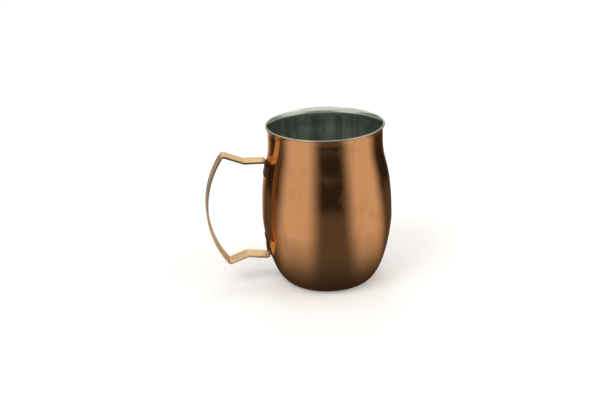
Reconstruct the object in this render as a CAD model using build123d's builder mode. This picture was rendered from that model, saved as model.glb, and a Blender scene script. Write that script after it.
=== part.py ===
from build123d import *
import os
from math import atan2, cos, degrees, radians, sin, tan

# Barrel mug with a copper outer shell, a stainless-steel liner and a bent strap handle.
# Millimetres and degrees. +Z is up, Z = 0 is the table, the Z axis is the axis of the barrel,
# and the handle stands out along -X.

# ---------------------------------------------------------------------------
# Sizes
# ---------------------------------------------------------------------------

# Barrel, outside
height = 114.5              # table to the top of the rolled rim
rim_radius = 41.4           # outside of the rolled rim
neck_radius = 39.95         # narrowest part, below the rim
neck_depth = 10.2           # top of the rim down to where the shoulder becomes the neck
flare_depth = 5.2           # top of the rim down to where the neck starts to flare
belly_radius = 46.0         # widest part
belly_height = 47.2
foot_radius = 29.0          # outer edge of the flat foot ring
foot_corner_radius = 3.8
foot_wall_angle = 35.0      # slope of the wall, up from the table, where it leaves the foot corner

# Shape of the wall: each factor is the share of a stretch that its end direction holds
base_fullness = 0.74        # foot corner to belly, across
belly_lower_hold = 0.11     # foot corner to belly, up
belly_upper_hold = 0.715    # belly to neck, up
neck_hold = 0.35            # belly to neck, up
wall_steps = 8              # points on each of the two curves that the wall is drawn through

# Sheet thicknesses
shell_wall = 0.4
liner_wall = 0.4
plate_wall = 0.5

# Rolled rim
rim_clearance = 0.05        # liner to shell, in the neck and inside the roll
roll_length = 0.9           # outer leg of the roll, below the shell's edge

# Liner
liner_bottom_height = 6.5   # underside of the drinking well
liner_bottom_radius = 33.0
liner_corner_radius = 8.0
liner_land_depth = 13.0     # top of the rim down to where the well starts to taper
liner_land_blend = 12.0

# Underside
flange_width = 3.0          # turned-in edge of the shell, which is the foot ring
plate_edge_clearance = 0.3  # base plate's edge to the start of the shell's inner corner
plate_recess = 1.6          # rise of the middle of the plate above its rim
plate_rim_width = 4.0
plate_step_width = 2.0
plate_bend_radius = 0.8
seam_leg = 0.8              # braze in the corner between foot ring and plate, along the plate
seam_lift = 0.05            # braze above the table

# Handle strap; reaches are from the wall at the height of each run, to mid-thickness
strap_width = 11.2
strap_thickness = 1.65
strap_edge_break = 0.25
foot_end_radius = 2.5
bend_radius = 1.6           # mid-thickness radius at the two feet
knee_radius = 2.4
grip_corner_radius = 2.0
grip_sagitta = 13.2         # how far the grip bows out from the line between its corners
upper_run_height = 90.6
upper_foot_length = 10.8
upper_knee_reach = 16.3
upper_knee_rise = 0.5
upper_corner_reach = 30.8
upper_corner_rise = 6.4
lower_run_height = 19.4
lower_foot_length = 15.8
lower_knee_reach = 16.9
lower_knee_rise = 2.1
lower_corner_reach = 29.8
lower_corner_drop = 2.5

# Brazed joints of the feet
braze_gap = 0.2             # wall to foot, on the handle's centre plane
braze_inset = 0.3           # braze inside the outline of the foot

length_tolerance = 0.01     # for picking out edges by their length

# ---------------------------------------------------------------------------
# Wall curves, as (radius, height)
# ---------------------------------------------------------------------------

neck_height = height - neck_depth
flare_height = height - flare_depth

wall_slope = radians(foot_wall_angle)
corner_end = (
    foot_radius + foot_corner_radius * sin(wall_slope),
    foot_corner_radius * (1 - cos(wall_slope)),
)
base_run = base_fullness * (belly_radius - corner_end[0])
base_curve_points = [
    corner_end,
    (corner_end[0] + base_run, corner_end[1] + base_run * tan(wall_slope)),
    (belly_radius, belly_height - belly_lower_hold * (belly_height - corner_end[1])),
    (belly_radius, belly_height),
]
shoulder_rise = neck_height - belly_height
shoulder_curve_points = [
    (belly_radius, belly_height),
    (belly_radius, belly_height + belly_upper_hold * shoulder_rise),
    (neck_radius, neck_height - neck_hold * shoulder_rise),
    (neck_radius, neck_height),
]
base_curve = Bezier(*base_curve_points)
shoulder_curve = Bezier(*shoulder_curve_points)


def wall_radius(level):
    """Outside radius of the barrel at a height between its foot corner and its neck."""
    curve = shoulder_curve if level > belly_height else base_curve
    low = 0.0
    high = 1.0
    for _ in range(40):
        middle = (low + high) / 2
        if (curve @ middle).Y < level:
            low = middle
        else:
            high = middle
    return (curve @ high).X


# The rim: the shell's edge lies at the centre of the roll, and both flare along one arc.
roll_radius = shell_wall / 2 + rim_clearance + liner_wall
edge_centre = Vector(rim_radius - roll_radius, height - roll_radius)
neck_centre_radius = neck_radius - shell_wall / 2
flare_rise = edge_centre.Y - flare_height
flare_run = edge_centre.X - neck_centre_radius
flare_angle = 2 * atan2(flare_run, flare_rise)
flare_radius = flare_rise / sin(flare_angle)
flare_normal = Vector(cos(flare_angle), -sin(flare_angle))
flare_direction = Vector(sin(flare_angle), cos(flare_angle))


# ---------------------------------------------------------------------------
# Barrel
# ---------------------------------------------------------------------------


def wall_points(inset):
    """Points up the wall from foot corner to neck, at an inset from the barrel's outside."""
    points = []
    for curve, first in ((base_curve, 0), (shoulder_curve, 1)):
        for step in range(first, wall_steps + 1):
            place = step / wall_steps
            along = curve % place
            points.append(curve @ place + Vector(-along.Y, along.X) * inset)
    return points


def draw_wall(inset):
    """Add the barrel's wall line at an inset, from its foot ring up to the edge under the roll."""
    Line((foot_radius - flange_width, inset), (foot_radius, inset))
    JernArc((foot_radius, inset), (1, 0), foot_corner_radius - inset, foot_wall_angle)
    Spline(
        *wall_points(inset),
        tangents=[base_curve % 0, shoulder_curve % 1],
        tangent_scalars=[1, 1],
    )
    Line((neck_radius - inset, neck_height), (neck_radius - inset, flare_height))
    flare_end = edge_centre + flare_normal * (shell_wall / 2 - inset)
    TangentArc((neck_radius - inset, flare_height), flare_end, tangent=(0, 1))


# Copper shell: spun barrel, open at both ends, with its lower edge turned in as a foot ring.
with BuildPart() as copper_shell:
    with BuildSketch(Plane.XZ):
        with BuildLine():
            draw_wall(0)
            draw_wall(shell_wall)
            Line((foot_radius - flange_width, 0), (foot_radius - flange_width, shell_wall))
            Line(
                edge_centre + flare_normal * (shell_wall / 2),
                edge_centre - flare_normal * (shell_wall / 2),
            )
        make_face()
    revolve(axis=Axis.Z)

# Solid with the barrel's outside, which shapes the joints of the handle.
with BuildPart() as barrel_envelope:
    with BuildSketch(Plane.XZ):
        with BuildLine():
            draw_wall(0)
            flare_end = edge_centre + flare_normal * (shell_wall / 2)
            Polyline(
                flare_end,
                (0, flare_end.Y),
                (0, 0),
                (foot_radius - flange_width, 0),
            )
        make_face()
    revolve(axis=Axis.Z)

# Stainless liner: tapered well that hangs from its rim, which is rolled over the shell's edge.
liner_neck_radius = neck_radius - shell_wall - rim_clearance
roll_inner_radius = shell_wall / 2 + rim_clearance
with BuildPart() as steel_liner:
    with BuildSketch(Plane.XZ):
        with BuildLine():
            FilletPolyline(
                (0, liner_bottom_height),
                (liner_bottom_radius, liner_bottom_height),
                (liner_neck_radius, height - liner_land_depth),
                (liner_neck_radius, flare_height),
                radius=[liner_corner_radius, liner_land_blend],
            )
            roll_start = edge_centre - flare_normal * roll_inner_radius
            roll_top = edge_centre + flare_direction * roll_inner_radius
            roll_end = edge_centre + flare_normal * roll_inner_radius
            TangentArc((liner_neck_radius, flare_height), roll_start, tangent=(0, 1))
            ThreePointArc(roll_start, roll_top, roll_end)
            offset(amount=liner_wall, side=Side.LEFT)
        make_face()
        with BuildLine():
            leg_radius = flare_radius - roll_inner_radius
            JernArc(roll_end, -flare_direction, leg_radius, degrees(roll_length / leg_radius))
            offset(amount=liner_wall, side=Side.LEFT)
        make_face()
    revolve(axis=Axis.Z)

# Base plate: pressed disc, seated on the foot ring inside the shell, with a raised middle.
plate_radius = foot_radius - plate_edge_clearance
step_foot_radius = plate_radius - plate_rim_width
with BuildPart() as base_plate:
    with BuildSketch(Plane.XZ):
        with BuildLine():
            FilletPolyline(
                (0, shell_wall + plate_recess),
                (step_foot_radius - plate_step_width, shell_wall + plate_recess),
                (step_foot_radius, shell_wall),
                (plate_radius, shell_wall),
                radius=plate_bend_radius,
            )
            offset(amount=plate_wall, side=Side.LEFT)
        make_face()
    revolve(axis=Axis.Z)

# Braze ring that seals the foot ring's inner edge to the underside of the plate.
seam_radius = foot_radius - flange_width
with BuildPart() as base_seam_braze:
    with BuildSketch(Plane.XZ):
        with BuildLine():
            Polyline(
                (seam_radius, seam_lift),
                (seam_radius, shell_wall),
                (seam_radius - seam_leg, shell_wall),
                close=True,
            )
        make_face()
    revolve(axis=Axis.Z)

# ---------------------------------------------------------------------------
# Handle
# ---------------------------------------------------------------------------


def foot_point(level):
    """Point at a height on the centre line of a foot, which lies along the wall."""
    return Vector(-wall_radius(level) - braze_gap - strap_thickness / 2, 0, level)


def reach_point(run_height, reach, rise):
    """Point on the strap's centre line, at a reach from the wall and a rise from its run."""
    return Vector(-wall_radius(run_height) - reach, 0, run_height + rise)


def draw_foot(first_level, last_level):
    """Add a foot's centre line between two heights, curved like the wall behind it."""
    middle_level = (first_level + last_level) / 2
    ThreePointArc(foot_point(first_level), foot_point(middle_level), foot_point(last_level))


upper_foot_tip = upper_run_height - upper_foot_length
lower_foot_tip = lower_run_height + lower_foot_length
upper_knee = reach_point(upper_run_height, upper_knee_reach, upper_knee_rise)
upper_corner = reach_point(upper_run_height, upper_corner_reach, upper_corner_rise)
lower_knee = reach_point(lower_run_height, lower_knee_reach, lower_knee_rise)
lower_corner = reach_point(lower_run_height, lower_corner_reach, -lower_corner_drop)
grip_direction = (lower_corner - upper_corner).normalized()
grip_outward = Vector(grip_direction.Z, 0, -grip_direction.X)
grip_middle = (upper_corner + lower_corner) / 2 + grip_outward * grip_sagitta

# Handle strap: one bent strip, with a foot turned back along the wall at each end.
with BuildPart() as handle_strap:
    with BuildLine(Plane.XZ) as strap_path:
        draw_foot(upper_foot_tip, upper_run_height)
        Polyline(foot_point(upper_run_height), upper_knee, upper_corner)
        ThreePointArc(upper_corner, grip_middle, lower_corner)
        Polyline(lower_corner, lower_knee, foot_point(lower_run_height))
        draw_foot(lower_run_height, lower_foot_tip)
        bends = [
            (foot_point(upper_run_height), bend_radius),
            (upper_knee, knee_radius),
            (upper_corner, grip_corner_radius),
            (lower_corner, grip_corner_radius),
            (lower_knee, knee_radius),
            (foot_point(lower_run_height), bend_radius),
        ]
        for corner, radius in bends:
            fillet(strap_path.vertices().sort_by_distance(corner)[0], radius)
    strap_line = strap_path.wire()
    with BuildSketch(Plane(strap_line @ 0, x_dir=(0, 1, 0), z_dir=strap_line % 0)):
        Rectangle(strap_width, strap_thickness)
    sweep(path=strap_line)
    through_edges = handle_strap.edges().filter_by(
        lambda edge: abs(edge.length - strap_thickness) < length_tolerance
    )
    fillet(through_edges, foot_end_radius)
    side_edges = handle_strap.faces().filter_by(Axis.Y).edges()
    long_edges = side_edges.filter_by(
        lambda edge: edge.length > strap_thickness + length_tolerance
    )
    fillet(long_edges, strap_edge_break)


def fill_joint(lowest, highest):
    """Add the braze between two heights: a block from the middle of the foot into the wall, less both."""
    bottom = foot_point(lowest)
    top = foot_point(highest)
    with BuildSketch(Plane.XZ) as side_view:
        with BuildLine():
            Polyline(
                (bottom.X, lowest),
                (bottom.X + strap_thickness, lowest),
                (top.X + strap_thickness, highest),
                (top.X, highest),
                close=True,
            )
        make_face()
    extrude(side_view.sketch, amount=strap_width / 2 - braze_inset, both=True)
    add(barrel_envelope.part, mode=Mode.SUBTRACT)
    add(handle_strap.part, mode=Mode.SUBTRACT)


# Brazed joints: each fills the gap between a flat foot and the round wall.
with BuildPart() as upper_foot_braze:
    fill_joint(upper_foot_tip + braze_inset, upper_run_height - bend_radius)

with BuildPart() as lower_foot_braze:
    fill_joint(lower_run_height + bend_radius, lower_foot_tip - braze_inset)

# ---------------------------------------------------------------------------
# Files
# ---------------------------------------------------------------------------

pieces = {
    "copper_shell": copper_shell,
    "steel_liner": steel_liner,
    "base_plate": base_plate,
    "base_seam_braze": base_seam_braze,
    "handle_strap": handle_strap,
    "upper_foot_braze": upper_foot_braze,
    "lower_foot_braze": lower_foot_braze,
}
os.makedirs("parts", exist_ok=True)
for piece_name, piece in pieces.items():
    piece.part.label = piece_name
    export_step(piece.part, f"parts/{piece_name}.step")
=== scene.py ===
"""Looks of the barrel mug: a copper shell, a steel liner, a bent strap handle and a plain studio.

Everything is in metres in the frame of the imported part: +Z up the axis of the barrel, Z = 0 on the
table, the handle along -X. Sizes inside the classes are in millimetres, as a maker would give them.
"""

import logging
import math
from dataclasses import dataclass, field
from enum import Enum
from typing import Any, Optional, Sequence

import bpy
import numpy as np
from mathutils import Matrix, Vector


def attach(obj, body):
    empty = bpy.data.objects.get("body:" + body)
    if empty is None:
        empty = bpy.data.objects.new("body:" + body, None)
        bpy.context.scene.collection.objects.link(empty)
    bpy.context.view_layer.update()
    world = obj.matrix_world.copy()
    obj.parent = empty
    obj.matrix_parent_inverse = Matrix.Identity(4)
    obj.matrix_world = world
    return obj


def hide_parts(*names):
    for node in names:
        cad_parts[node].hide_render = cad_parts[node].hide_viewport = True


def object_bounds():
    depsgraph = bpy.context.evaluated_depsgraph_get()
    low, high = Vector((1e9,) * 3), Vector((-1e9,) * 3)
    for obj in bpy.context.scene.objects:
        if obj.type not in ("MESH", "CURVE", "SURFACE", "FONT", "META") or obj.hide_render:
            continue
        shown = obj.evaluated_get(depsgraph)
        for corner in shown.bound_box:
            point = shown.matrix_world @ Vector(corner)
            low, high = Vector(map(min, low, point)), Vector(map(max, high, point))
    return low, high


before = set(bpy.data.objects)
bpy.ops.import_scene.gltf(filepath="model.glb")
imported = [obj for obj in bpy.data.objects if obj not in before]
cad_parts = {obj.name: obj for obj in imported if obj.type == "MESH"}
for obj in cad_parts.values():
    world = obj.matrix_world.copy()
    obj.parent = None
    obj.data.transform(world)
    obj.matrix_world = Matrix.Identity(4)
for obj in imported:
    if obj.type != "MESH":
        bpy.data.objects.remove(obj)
CAD_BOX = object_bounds()

MM = 0.001
BODY = "root"
log = logging.getLogger("mug")

Array = np.ndarray
Tree = bpy.types.NodeTree
Socket = bpy.types.NodeSocket
Material = bpy.types.Material
Piece = bpy.types.Object


class Slot(Enum):
    """Material slots of the record."""

    COPPER = "copper"
    STAINLESS = "stainless"
    STRAP = "strap"
    BRAZE = "braze"


# ---------------------------------------------------------------------------
# Lines in a plane
# ---------------------------------------------------------------------------


def bezier(controls: Sequence[tuple[float, float]], steps: int) -> Array:
    """Cubic Bezier curve: the sum of its four controls, weighed by the Bernstein cubics.

    Args:
        controls: the four control points.
        steps: number of spans.

    Returns:
        The points, one more than steps.
    """
    t = np.linspace(0.0, 1.0, steps + 1)[:, None]
    p = np.asarray(controls, float)
    return (1 - t) ** 3 * p[0] + 3 * t * (1 - t) ** 2 * p[1] + 3 * t**2 * (1 - t) * p[2] + t**3 * p[3]


def arc(centre: tuple[float, float], radius: float, start: float, end: float, steps: int) -> Array:
    """Circular arc: centre plus radius times (cosine, sine) of an evenly stepped angle.

    Args:
        centre: centre of the circle.
        radius: its radius.
        start: first angle, radians.
        end: last angle, radians.
        steps: number of spans.

    Returns:
        The points, one more than steps.
    """
    angle = np.linspace(start, end, steps + 1)
    return np.stack([centre[0] + radius * np.cos(angle), centre[1] + radius * np.sin(angle)], -1)


def straight(start: Sequence[float], end: Sequence[float], steps: int) -> Array:
    """Evenly spaced points on the line between two points."""
    t = np.linspace(0.0, 1.0, steps + 1)[:, None]
    return (1 - t) * np.asarray(start, float) + t * np.asarray(end, float)


def join_runs(*runs: Array) -> Array:
    """Runs of points end to end, with the points that repeat left out."""
    points = np.concatenate(runs)
    step = np.linalg.norm(np.diff(points, axis=0), axis=1)
    return points[np.concatenate([[True], step > 1e-6])]


def lengths(points: Array) -> Array:
    """Distance along a line of points, from its first."""
    return np.concatenate([[0.0], np.cumsum(np.linalg.norm(np.diff(points, axis=0), axis=1))])


def left_normals(points: Array) -> Array:
    """Unit normals to the left of a line of points: its central differences turned a quarter."""
    along = np.gradient(points, lengths(points), axis=0)
    along /= np.linalg.norm(along, axis=1, keepdims=True)
    return np.stack([-along[:, 1], along[:, 0]], -1)


def read_off(places: Array, along: Array, points: Array) -> Array:
    """Two coordinates at distances along a line of points, by linear interpolation."""
    return np.stack([np.interp(places, along, points[:, k]) for k in range(2)], -1)


def eased(share: Array) -> Array:
    """Smooth step: 3t^2 - 2t^3 of a share held between 0 and 1."""
    t = np.clip(share, 0, 1)
    return t * t * (3 - 2 * t)


def once_round(steps: int) -> Array:
    """Angles in even steps once round, radians."""
    return np.arange(steps) * (2 * math.pi / steps)


def trimmed(run: Array, cut_start: float, cut_end: float) -> Array:
    """A run of points less a length at each end, its new ends put in by linear interpolation.

    Args:
        run: the points.
        cut_start: length taken off the start.
        cut_end: length taken off the end.

    Returns:
        The shorter run.
    """
    along = lengths(run)
    first, last = cut_start, along[-1] - cut_end
    inside = (along > first + 1e-6) & (along < last - 1e-6)
    places = np.concatenate([[first], along[inside], [last]])
    return read_off(places, along, run)


def rounded_legs(legs: Sequence[Array], radii: Sequence[float], steps: int) -> Array:
    """Joins legs that meet at corners, each corner replaced by a tangent arc.

    The arc takes radius times the tangent of half the turn off both legs.

    Args:
        legs: runs of points, each starting where the one before ends.
        radii: radius at each corner between two legs.
        steps: spans on each arc.

    Returns:
        One line of points.
    """
    cuts = np.zeros((len(legs), 2))
    arcs = []
    for k, radius in enumerate(radii):
        corner = legs[k][-1]
        into = corner - legs[k][-2]
        into /= np.linalg.norm(into)
        out = legs[k + 1][1] - corner
        out /= np.linalg.norm(out)
        side = math.copysign(1.0, into[0] * out[1] - into[1] * out[0])
        turn = math.acos(max(-1.0, min(1.0, float(into @ out))))
        cut = radius * math.tan(turn / 2)
        cuts[k, 1] = cuts[k + 1, 0] = cut
        normal = side * np.array([-into[1], into[0]])
        centre = corner - into * cut + normal * radius
        start = math.atan2(-normal[1], -normal[0])
        arcs.append(arc((centre[0], centre[1]), radius, start, start + side * turn, steps))
    runs = []
    for k, leg in enumerate(legs):
        runs.append(trimmed(leg, cuts[k, 0], cuts[k, 1]))
        if k < len(arcs):
            runs.append(arcs[k])
    return join_runs(*runs)


# ---------------------------------------------------------------------------
# Meshes from grids
# ---------------------------------------------------------------------------


def grid_faces(rows: int, columns: int, rows_close: bool, columns_close: bool) -> Array:
    """Quads of a grid of points that are numbered row by row.

    Args:
        rows: number of rows.
        columns: number of points in a row.
        rows_close: the last row meets the first.
        columns_close: the last point of a row meets its first.

    Returns:
        One row of four point numbers for each quad.
    """
    i = np.arange(rows if rows_close else rows - 1)[:, None]
    j = np.arange(columns if columns_close else columns - 1)[None, :]
    i2, j2 = (i + 1) % rows, (j + 1) % columns
    quads = np.stack([i * columns + j, i2 * columns + j, i2 * columns + j2, i * columns + j2], -1)
    return quads.reshape(-1, 4)


def fan_faces(ring: Array, pole: int, backwards: bool) -> Array:
    """Triangles that close a ring of point numbers to one pole point.

    Args:
        ring: point numbers round the ring.
        pole: number of the pole point.
        backwards: wind the triangles the other way.

    Returns:
        One row of three point numbers for each triangle.
    """
    after = np.roll(ring, -1)
    if backwards:
        ring, after = after, ring
    return np.stack([ring, after, np.full_like(ring, pole)], -1)


def tube_faces(rings: int, steps: int) -> tuple[Array, Array]:
    """Faces of a tube whose ends close to two poles, numbered after the rings' own points.

    Args:
        rings: number of rings.
        steps: points in a ring.

    Returns:
        Quads and triangles.
    """
    ring = np.arange(steps)
    first = fan_faces(ring, rings * steps, True)
    last = fan_faces(ring + (rings - 1) * steps, rings * steps + 1, False)
    return grid_faces(rings, steps, False, True), np.concatenate([first, last])


def make_piece(
    name: str,
    points: Array,
    quads: Array,
    triangles: Optional[Array] = None,
    uv: Optional[Array] = None,
    sharp_angle: float = 40.0,
    is_solid: bool = True,
) -> Piece:
    """Puts worked-out points and faces into a mesh object at the origin.

    A closed mesh whose signed volume (the sum over its triangles of the triple product of their
    corners, over six) comes out negative is turned right side out.

    Args:
        name: name of the piece.
        points: corners, in millimetres.
        quads: four point numbers a row.
        triangles: three point numbers a row, or nothing.
        uv: two values in metres for each point, or nothing.
        sharp_angle: edges that turn more than this many degrees are shaded sharp.
        is_solid: the mesh is closed and has an inside.

    Returns:
        The object, linked to the scene.
    """
    points = np.ascontiguousarray(points, float) * MM
    triangles = np.zeros((0, 3), int) if triangles is None else triangles
    split = np.concatenate([quads[:, [0, 1, 2]], quads[:, [0, 2, 3]], triangles])
    a, b, c = (points[split[:, k]] for k in range(3))
    if is_solid and np.einsum("ij,ij->i", a, np.cross(b, c)).sum() < 0:
        quads, triangles = quads[:, ::-1], triangles[:, ::-1]
    corners = np.concatenate([quads.reshape(-1), triangles.reshape(-1)]).astype(np.int32)
    counts = np.concatenate([np.full(len(quads), 4), np.full(len(triangles), 3)])
    mesh = bpy.data.meshes.new(name)
    mesh.vertices.add(len(points))
    mesh.vertices.foreach_set("co", points.astype(np.float32).reshape(-1))
    mesh.loops.add(len(corners))
    mesh.loops.foreach_set("vertex_index", corners)
    mesh.polygons.add(len(counts))
    starts = np.concatenate([[0], np.cumsum(counts)[:-1]]).astype(np.int32)
    mesh.polygons.foreach_set("loop_start", starts)
    mesh.polygons.foreach_set("use_smooth", np.ones(len(counts), bool))
    if uv is not None:
        layer = mesh.uv_layers.new(name="surface")
        layer.data.foreach_set("uv", uv[corners].astype(np.float32).reshape(-1))
    mesh.update(calc_edges=True)
    mesh.validate()
    mesh.set_sharp_from_angle(angle=math.radians(sharp_angle))
    piece = bpy.data.objects.new(name, mesh)
    bpy.context.scene.collection.objects.link(piece)
    return piece


def revolved(profile: Array, around: int, closed: bool) -> tuple[Array, Array, Array]:
    """Surface of revolution: each (radius, height) carried round the Z axis in even steps.

    A closed profile makes a ring. An open one starts and ends on the axis, and its two end points
    become poles.

    Args:
        profile: (radius, height) points.
        around: steps round the axis.
        closed: the profile's last point meets its first.

    Returns:
        Points, quads and triangles.
    """
    angle = once_round(around)
    body = profile if closed else profile[1:-1]
    x = body[:, :1] * np.cos(angle)
    y = body[:, :1] * np.sin(angle)
    z = np.broadcast_to(body[:, 1:], x.shape)
    points = np.stack([x, y, z], -1).reshape(-1, 3)
    if closed:
        return points, grid_faces(len(body), around, True, True), np.zeros((0, 3), int)
    poles = np.array([[0.0, 0.0, profile[0, 1]], [0.0, 0.0, profile[-1, 1]]])
    return np.concatenate([points, poles]), *tube_faces(len(body), around)


def dress(piece: Piece, material: Material, slot: Slot, *nodes: str) -> Piece:
    """Finishes a piece: its material and the body it rides on, and hides the nodes it stands for."""
    piece.data.materials.append(material)
    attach(piece, BODY)
    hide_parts(*nodes)
    return piece


# ---------------------------------------------------------------------------
# Nodes and finishes
# ---------------------------------------------------------------------------


def linear(colour: str) -> tuple[float, float, float, float]:
    """Linear RGBA of an sRGB hex colour, by the sRGB curve.

    Args:
        colour: "#RRGGBB".

    Returns:
        Red, green, blue and an alpha of one.
    """
    parts = [int(colour[k : k + 2], 16) / 255 for k in (1, 3, 5)]
    red, green, blue = (c / 12.92 if c <= 0.04045 else ((c + 0.055) / 1.055) ** 2.4 for c in parts)
    return red, green, blue, 1.0


def add_node(
    tree: Tree,
    kind: str,
    settings: Optional[dict[str, Any]] = None,
    values: Optional[dict[Any, Any]] = None,
) -> bpy.types.Node:
    """Adds a node, sets it up and links it.

    Args:
        tree: node tree that it goes in.
        kind: type name of the node, without its ShaderNode prefix.
        settings: attributes of the node.
        values: for each input, by name or number, a constant or the socket that feeds it.

    Returns:
        The node.
    """
    node = tree.nodes.new("ShaderNode" + kind)
    for key, value in (settings or {}).items():
        setattr(node, key, value)
    for key, value in (values or {}).items():
        if isinstance(value, Socket):
            tree.links.new(value, node.inputs[key])
        else:
            node.inputs[key].default_value = value
    return node


def new_material(name: str) -> tuple[Material, Tree, Socket]:
    """An empty node material.

    Args:
        name: its name.

    Returns:
        The material, its tree, and the surface input of its output.
    """
    material = bpy.data.materials.new(name)
    material.use_nodes = True
    tree = material.node_tree
    tree.nodes.clear()
    output = add_node(tree, "OutputMaterial")
    return material, tree, output.inputs["Surface"]


def stretched_noise(
    tree: Tree,
    place: Socket,
    per_mm: tuple[float, float, float],
    detail: float = 2.0,
    turn: tuple[float, float, float] = (0.0, 0.0, 0.0),
) -> Socket:
    """Noise of a different fineness along each axis.

    Args:
        tree: node tree.
        place: coordinates in metres.
        per_mm: cells for each millimetre along each axis.
        detail: octaves.
        turn: turn of the axes, radians.

    Returns:
        The noise, from 0 to 1.
    """
    scale = tuple(value / MM for value in per_mm)
    mapped = add_node(
        tree, "Mapping", {"vector_type": "POINT"}, {"Vector": place, "Rotation": turn, "Scale": scale}
    )
    noise = add_node(
        tree,
        "TexNoise",
        {"noise_dimensions": "3D"},
        {"Vector": mapped.outputs["Vector"], "Scale": 1.0, "Detail": detail, "Roughness": 0.55},
    )
    return noise.outputs["Fac"]


def ramp(
    tree: Tree,
    value: Socket,
    low: float,
    high: float,
    to_low: float = 0.0,
    to_high: float = 1.0,
) -> Socket:
    """A value carried smoothly from one range to another and held at its ends.

    Args:
        tree: node tree.
        value: what is carried.
        low: start of its range.
        high: end of its range.
        to_low: result at the start.
        to_high: result at the end.

    Returns:
        The result.
    """
    node = add_node(
        tree,
        "MapRange",
        {"interpolation_type": "SMOOTHSTEP", "clamp": True},
        {0: value, 1: low, 2: high, 3: to_low, 4: to_high},
    )
    return node.outputs[0]


def worked(tree: Tree, operation: str, *values: Any) -> Socket:
    """Result of one operation on sockets and numbers, such as "MULTIPLY"."""
    return add_node(tree, "Math", {"operation": operation}, dict(enumerate(values))).outputs[0]


def total(tree: Tree, *values: Any) -> Socket:
    """Sum of sockets and numbers."""
    result = values[0]
    for value in values[1:]:
        result = worked(tree, "ADD", result, value)
    return result


def blended(tree: Tree, factor: Socket, first: Any, second: Any) -> Socket:
    """Mix of two colours.

    Args:
        tree: node tree.
        factor: share of the second.
        first: colour at 0.
        second: colour at 1.

    Returns:
        The mixed colour.
    """
    return add_node(tree, "Mix", {"data_type": "RGBA"}, {0: factor, 6: first, 7: second}).outputs[2]


def from_axis(tree: Tree, place: Socket) -> Socket:
    """Distance from the Z axis: the length of a place with its height struck out."""
    flat = add_node(tree, "VectorMath", {"operation": "MULTIPLY"}, {0: place, 1: (1.0, 1.0, 0.0)})
    return add_node(tree, "VectorMath", {"operation": "LENGTH"}, {0: flat.outputs[0]}).outputs["Value"]


def round_and_round(tree: Tree) -> Socket:
    """Tangent that runs round the Z axis."""
    return add_node(tree, "Tangent", {"direction_type": "RADIAL", "axis": "Z"}).outputs["Tangent"]


def seen_rays(tree: Tree) -> Socket:
    """One for rays from the camera, off gloss or through glass, and nought for other rays."""
    path = add_node(tree, "LightPath")
    kinds = ("Is Camera Ray", "Is Glossy Ray", "Is Transmission Ray")
    return total(tree, *(path.outputs[kind] for kind in kinds))


def relief(
    tree: Tree,
    height: Socket,
    depth: float,
    strength: float = 1.0,
    under: Optional[Socket] = None,
) -> Socket:
    """Normals of a fine relief, or of grooves cut into another one.

    Args:
        tree: node tree.
        height: the relief, from 0 to 1.
        depth: its depth, millimetres.
        strength: share of it that shows.
        under: normals of the relief that grooves are cut into, or nothing.

    Returns:
        The normals.
    """
    values = {"Strength": strength, "Distance": depth * MM, "Height": height}
    if under is not None:
        values["Normal"] = under
    return add_node(tree, "Bump", {"invert": under is not None}, values).outputs["Normal"]


def metal_shader(tree: Tree, surface: Socket, values: dict[str, Any]) -> None:
    """Puts a metal shader on a surface.

    Args:
        tree: node tree.
        surface: surface input of the material's output.
        values: the shader's inputs; it is wholly metal where they don't say otherwise.
    """
    shader = add_node(tree, "BsdfPrincipled", None, {"Metallic": 1.0, **values})
    tree.links.new(shader.outputs["BSDF"], surface)


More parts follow.
